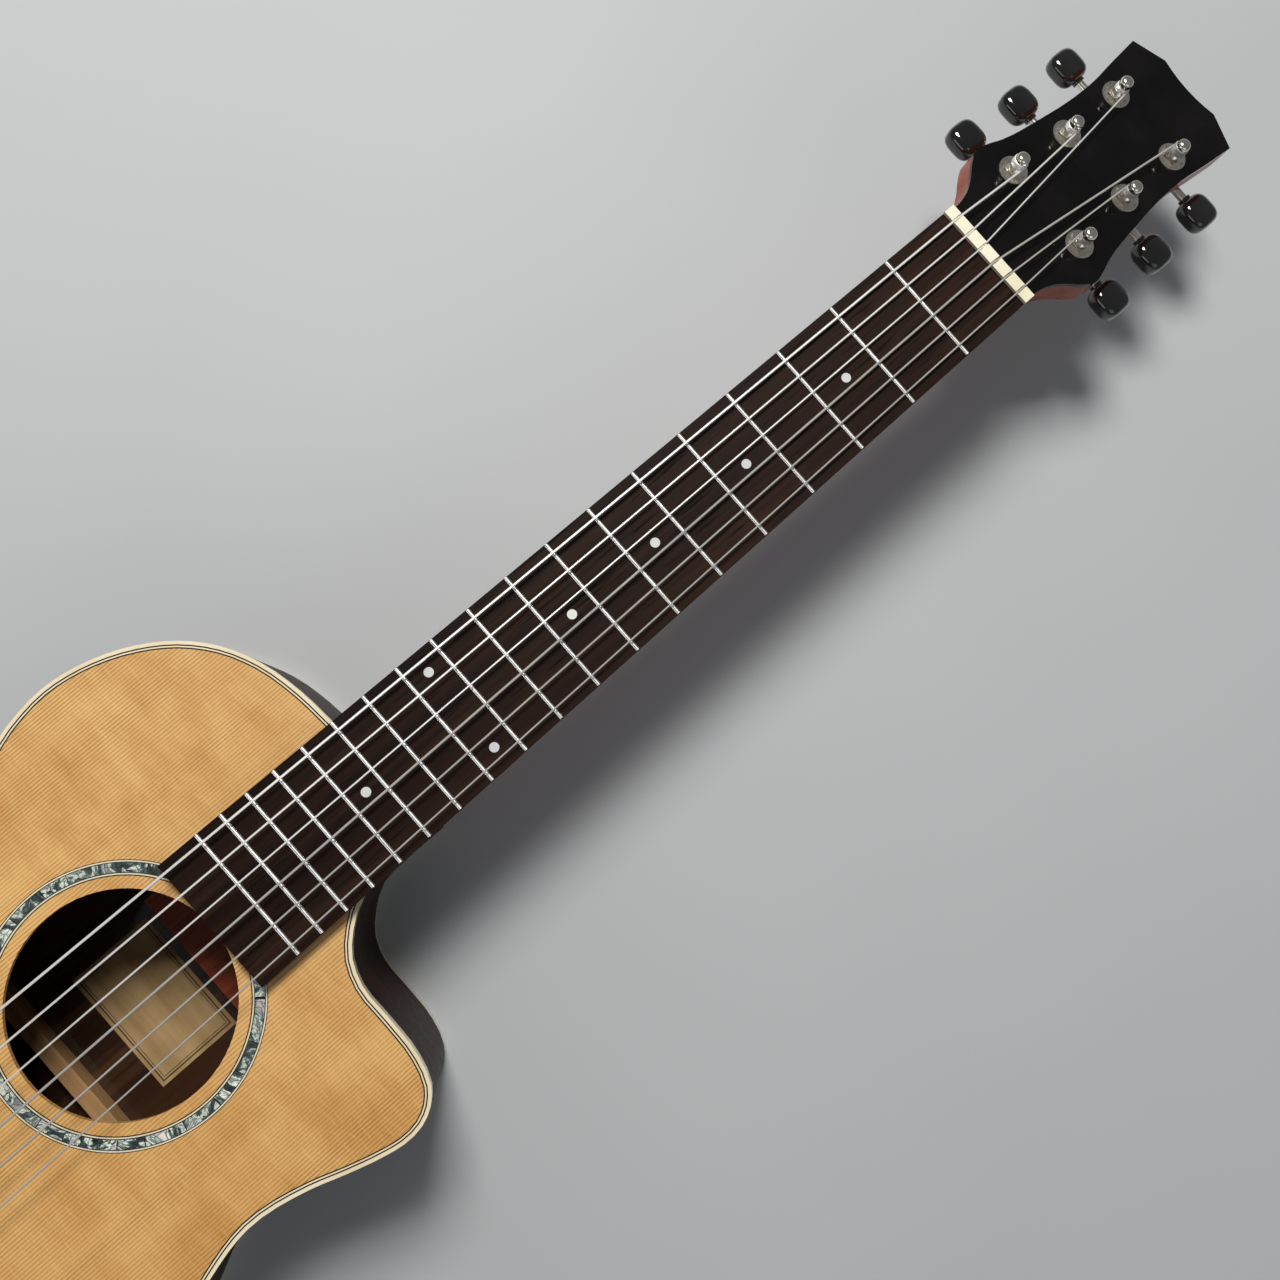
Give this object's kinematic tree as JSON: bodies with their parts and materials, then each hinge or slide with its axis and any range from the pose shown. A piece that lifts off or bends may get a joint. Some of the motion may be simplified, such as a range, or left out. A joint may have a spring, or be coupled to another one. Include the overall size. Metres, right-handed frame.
{
  "type": "six-string cutaway guitar",
  "caption": "Small-bodied nylon-string guitar with a single cutaway, a round soundhole, a slim neck and a solid head with geared tuners.",
  "frame": {"origin": "on the flat back, on the centreline, halfway along the body", "axes": "+X to the treble side, +Y along the neck to the head, +Z out of the top; the guitar lies on its back"},
  "size_m": [0.296, 0.8778, 0.0951],
  "materials": {
    "spruce": "gloss",
    "ebony": "gloss",
    "cedar": "satin",
    "binding": "gloss",
    "dark_line": "gloss",
    "shell": "gloss",
    "brace": "matt",
    "mahogany": "satin",
    "rosewood": "satin",
    "bone": "satin",
    "metal": "satin",
    "black_gloss": "gloss",
    "fret_wire": "polished",
    "pearl": "gloss",
    "wound_string": "polished",
    "nylon": "clear",
    "paper": "matt",
    "tuner_metal": "polished",
    "black_plastic": "satin",
    "grey_plastic": "satin",
    "button_black": "gloss",
    "wire": "satin"
  },
  "bodies": {
    "guitar": {"top_plate": "spruce", "back_plate": "ebony", "rib_bass": "ebony", "rib_treble": "ebony", "top_lining": "cedar", "back_lining": "cedar", "top_binding": "binding", "back_binding": "binding", "purfling_dark": "dark_line", "purfling_light": "binding", "rosette_shell": "shell", "rosette_rings": "dark_line", "top_braces": "brace", "back_braces": "brace", "neck_block": "mahogany", "tail_block": "mahogany", "bridge": "rosewood", "saddle": "bone", "saddle_pickup": "metal", "neck": "mahogany", "headplate": "black_gloss", "fingerboard": "rosewood", "frets": "fret_wire", "nut": "bone", "fret_markers": "pearl", "truss_rod": "metal", "wound_strings": "wound_string", "plain_strings": "nylon", "label": "paper", "tuner_housings": "tuner_metal", "tuner_covers": "tuner_metal", "tuner_bushings": "tuner_metal", "tuner_screws": "tuner_metal", "preamp_housing": "black_plastic", "preamp_panel": "black_plastic", "output_jack": "tuner_metal", "wiring": "wire"},
    "tuner_key_1": {"tuner_button_1": "button_black", "tuner_worm_1": "tuner_metal"},
    "string_post_1": {"tuner_post_1": "tuner_metal"},
    "tuner_key_2": {"tuner_button_2": "button_black", "tuner_worm_2": "tuner_metal"},
    "string_post_2": {"tuner_post_2": "tuner_metal"},
    "tuner_key_3": {"tuner_button_3": "button_black", "tuner_worm_3": "tuner_metal"},
    "string_post_3": {"tuner_post_3": "tuner_metal"},
    "tuner_key_4": {"tuner_button_4": "button_black", "tuner_worm_4": "tuner_metal"},
    "string_post_4": {"tuner_post_4": "tuner_metal"},
    "tuner_key_5": {"tuner_button_5": "button_black", "tuner_worm_5": "tuner_metal"},
    "string_post_5": {"tuner_post_5": "tuner_metal"},
    "tuner_key_6": {"tuner_button_6": "button_black", "tuner_worm_6": "tuner_metal"},
    "string_post_6": {"tuner_post_6": "tuner_metal"},
    "volume_control": {"volume_knob": "black_plastic"},
    "tone_control": {"tone_knob": "black_plastic"},
    "switch_button": {"tuner_switch": "grey_plastic"},
    "battery_drawer": {"battery_tray": "black_plastic", "battery": "metal"}
  },
  "joints": [
    {"name": "tuner_key_1_turn", "type": "hinge", "parent": "guitar", "child": "tuner_key_1", "pos_m": [0.021, 0.57185, 0.05682], "axis": [1, 0, 0], "continuous": true},
    {"name": "string_post_1_turn", "type": "hinge", "parent": "guitar", "child": "string_post_1", "pos_m": [0.021, 0.56204, 0.05873], "axis": [0, 0.1908, 0.9816], "continuous": true},
    {"name": "tuner_key_2_turn", "type": "hinge", "parent": "guitar", "child": "tuner_key_2", "pos_m": [0.0186, 0.60542, 0.0503], "axis": [1, 0, 0], "continuous": true},
    {"name": "string_post_2_turn", "type": "hinge", "parent": "guitar", "child": "string_post_2", "pos_m": [0.0186, 0.59561, 0.05221], "axis": [0, 0.1908, 0.9816], "continuous": true},
    {"name": "tuner_key_3_turn", "type": "hinge", "parent": "guitar", "child": "tuner_key_3", "pos_m": [0.0184, 0.63939, 0.04369], "axis": [1, 0, 0], "continuous": true},
    {"name": "string_post_3_turn", "type": "hinge", "parent": "guitar", "child": "string_post_3", "pos_m": [0.0184, 0.62957, 0.0456], "axis": [0, 0.1908, 0.9816], "continuous": true},
    {"name": "tuner_key_4_turn", "type": "hinge", "parent": "guitar", "child": "tuner_key_4", "pos_m": [-0.0184, 0.63939, 0.04369], "axis": [1, 0, 0], "continuous": true},
    {"name": "string_post_4_turn", "type": "hinge", "parent": "guitar", "child": "string_post_4", "pos_m": [-0.0184, 0.62957, 0.0456], "axis": [0, 0.1908, 0.9816], "continuous": true},
    {"name": "tuner_key_5_turn", "type": "hinge", "parent": "guitar", "child": "tuner_key_5", "pos_m": [-0.0186, 0.60542, 0.0503], "axis": [1, 0, 0], "continuous": true},
    {"name": "string_post_5_turn", "type": "hinge", "parent": "guitar", "child": "string_post_5", "pos_m": [-0.0186, 0.59561, 0.05221], "axis": [0, 0.1908, 0.9816], "continuous": true},
    {"name": "tuner_key_6_turn", "type": "hinge", "parent": "guitar", "child": "tuner_key_6", "pos_m": [-0.021, 0.57185, 0.05682], "axis": [1, 0, 0], "continuous": true},
    {"name": "string_post_6_turn", "type": "hinge", "parent": "guitar", "child": "string_post_6", "pos_m": [-0.021, 0.56204, 0.05873], "axis": [0, 0.1908, 0.9816], "continuous": true},
    {"name": "volume_turn", "type": "hinge", "parent": "guitar", "child": "volume_control", "pos_m": [-0.111, 0.1405, 0.043], "axis": [-1, 0, 0], "range_deg": [-150, 150]},
    {"name": "tone_turn", "type": "hinge", "parent": "guitar", "child": "tone_control", "pos_m": [-0.111, 0.1125, 0.043], "axis": [-1, 0, 0], "range_deg": [-150, 150]},
    {"name": "switch_press", "type": "slide", "parent": "guitar", "child": "switch_button", "axis": [1, 0, 0], "range_m": [0, 0.0015], "stiffness_N_per_m": 600, "springref_m": -0.0003},
    {"name": "battery_slide", "type": "slide", "parent": "guitar", "child": "battery_drawer", "axis": [-1, 0, 0], "range_m": [0, 0.028]}
  ],
  "couplings": [
    {"joint": "string_post_1_turn", "follows": "tuner_key_1_turn", "ratio": 0.0625},
    {"joint": "string_post_2_turn", "follows": "tuner_key_2_turn", "ratio": 0.0625},
    {"joint": "string_post_3_turn", "follows": "tuner_key_3_turn", "ratio": 0.0625},
    {"joint": "string_post_4_turn", "follows": "tuner_key_4_turn", "ratio": 0.0625},
    {"joint": "string_post_5_turn", "follows": "tuner_key_5_turn", "ratio": 0.0625},
    {"joint": "string_post_6_turn", "follows": "tuner_key_6_turn", "ratio": 0.0625}
  ]
}
